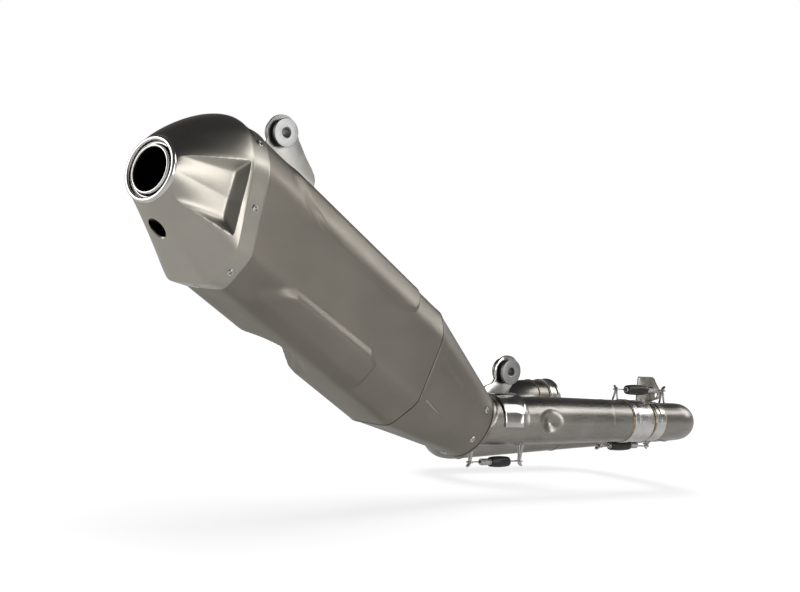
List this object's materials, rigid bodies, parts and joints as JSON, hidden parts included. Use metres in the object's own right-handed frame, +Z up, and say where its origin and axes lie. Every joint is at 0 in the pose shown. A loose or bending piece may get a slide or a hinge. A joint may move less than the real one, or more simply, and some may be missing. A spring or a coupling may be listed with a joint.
{
  "type": "motocross exhaust system",
  "caption": "Complete off-road motorcycle exhaust: wrap-around header, sprung slip joints, mid pipe and a faceted muffler with a conical end cap.",
  "frame": {"origin": "centre of the header's port face, where the system seats in the cylinder head", "axes": "+X forward along the bike, out of the port face; +Y to the bike's left; +Z up. The mid pipe runs along X and the muffler rises to the rear"},
  "size_m": [0.8206, 0.3203, 0.3434],
  "materials": {
    "blasted_titanium": "titanium sheet, blasted to a dull grey",
    "brushed_titanium": "titanium tube, brushed, with heat tint beside the welds",
    "machined_titanium": "turned and polished titanium",
    "turned_aluminium": "turned",
    "spring_steel": "bright stainless wire and rivets",
    "black_rubber": "matte",
    "glass_wool": "long-strand glass packing"
  },
  "bodies": {
    "header": {"port_collar": "brushed_titanium", "port_tube": "brushed_titanium", "header_curl": "brushed_titanium", "left_run": "brushed_titanium", "front_left_bend": "brushed_titanium", "front_crossing": "brushed_titanium", "right_elbow": "brushed_titanium", "joint_socket": "machined_titanium", "joint_bracket": "brushed_titanium", "header_top_hook": "spring_steel", "header_bottom_hook": "spring_steel", "header_spring_top": "spring_steel", "header_spring_top_sleeve": "black_rubber", "header_spring_bottom": "spring_steel", "header_spring_bottom_sleeve": "black_rubber"},
    "mid_pipe_section": {"mid_pipe": "brushed_titanium", "joint_spigot": "brushed_titanium", "mid_pipe_top_hook": "spring_steel", "mid_pipe_bottom_hook": "spring_steel", "mid_pipe_rear_hook": "spring_steel", "muffler_spring": "spring_steel", "muffler_spring_sleeve": "black_rubber"},
    "muffler": {"muffler_sleeve": "blasted_titanium", "end_cap": "blasted_titanium", "outlet_collar": "machined_titanium", "screw_boss": "blasted_titanium", "front_cone": "blasted_titanium", "inlet_tube": "brushed_titanium", "inlet_flange": "brushed_titanium", "core_tube": "brushed_titanium", "packing": "glass_wool", "rear_bracket": "brushed_titanium", "rear_grommet": "black_rubber", "front_bracket": "brushed_titanium", "front_grommet": "black_rubber", "muffler_spring_hook": "spring_steel", "cap_rivet_1": "spring_steel", "cap_rivet_2": "spring_steel", "cap_rivet_3": "spring_steel", "cap_rivet_4": "spring_steel", "cap_rivet_5": "spring_steel", "cap_rivet_6": "spring_steel", "cap_rivet_7": "spring_steel", "cap_rivet_8": "spring_steel", "cone_rivet_1": "spring_steel", "cone_rivet_2": "spring_steel", "cone_rivet_3": "spring_steel", "cone_rivet_4": "spring_steel", "cone_rivet_5": "spring_steel", "cone_rivet_6": "spring_steel"},
    "quiet_insert": {"outlet_insert": "machined_titanium"},
    "lock_screw": {"insert_lock_screw": "spring_steel"},
    "rear_bush_body": {"rear_bush": "turned_aluminium"},
    "front_bush_body": {"front_bush": "turned_aluminium"}
  },
  "joints": [
    {"name": "header_joint_slip", "type": "slide", "parent": "header", "child": "mid_pipe_section", "axis": [-1, 0, 0], "range_m": [0, 0.012], "stiffness_N_per_m": 12000, "springref_m": -0.008, "deforming": ["header_spring_top", "header_spring_bottom", "header_spring_top_sleeve", "header_spring_bottom_sleeve"]},
    {"name": "muffler_joint_swivel", "type": "hinge", "parent": "mid_pipe_section", "child": "muffler", "pos_m": [-0.12, -0.066, -0.016], "axis": [1, 0, 0], "range_deg": [-8, 8], "deforming": ["muffler_spring", "muffler_spring_sleeve"]},
    {"name": "insert_pull", "type": "slide", "parent": "muffler", "child": "quiet_insert", "axis": [-0.9618, -0.2044, 0.1822], "range_m": [0, 0.06]},
    {"name": "lock_screw_out", "type": "slide", "parent": "muffler", "child": "lock_screw", "axis": [-0.1854, -0.0037, -0.9827], "range_m": [0, 0.008]},
    {"name": "rear_bush_turn", "type": "hinge", "parent": "muffler", "child": "rear_bush_body", "pos_m": [-0.425, -0.0516, 0.2436], "axis": [0, 1, 0], "continuous": true},
    {"name": "front_bush_turn", "type": "hinge", "parent": "muffler", "child": "front_bush_body", "pos_m": [-0.116, -0.0516, 0.0335], "axis": [0, 1, 0], "continuous": true}
  ]
}
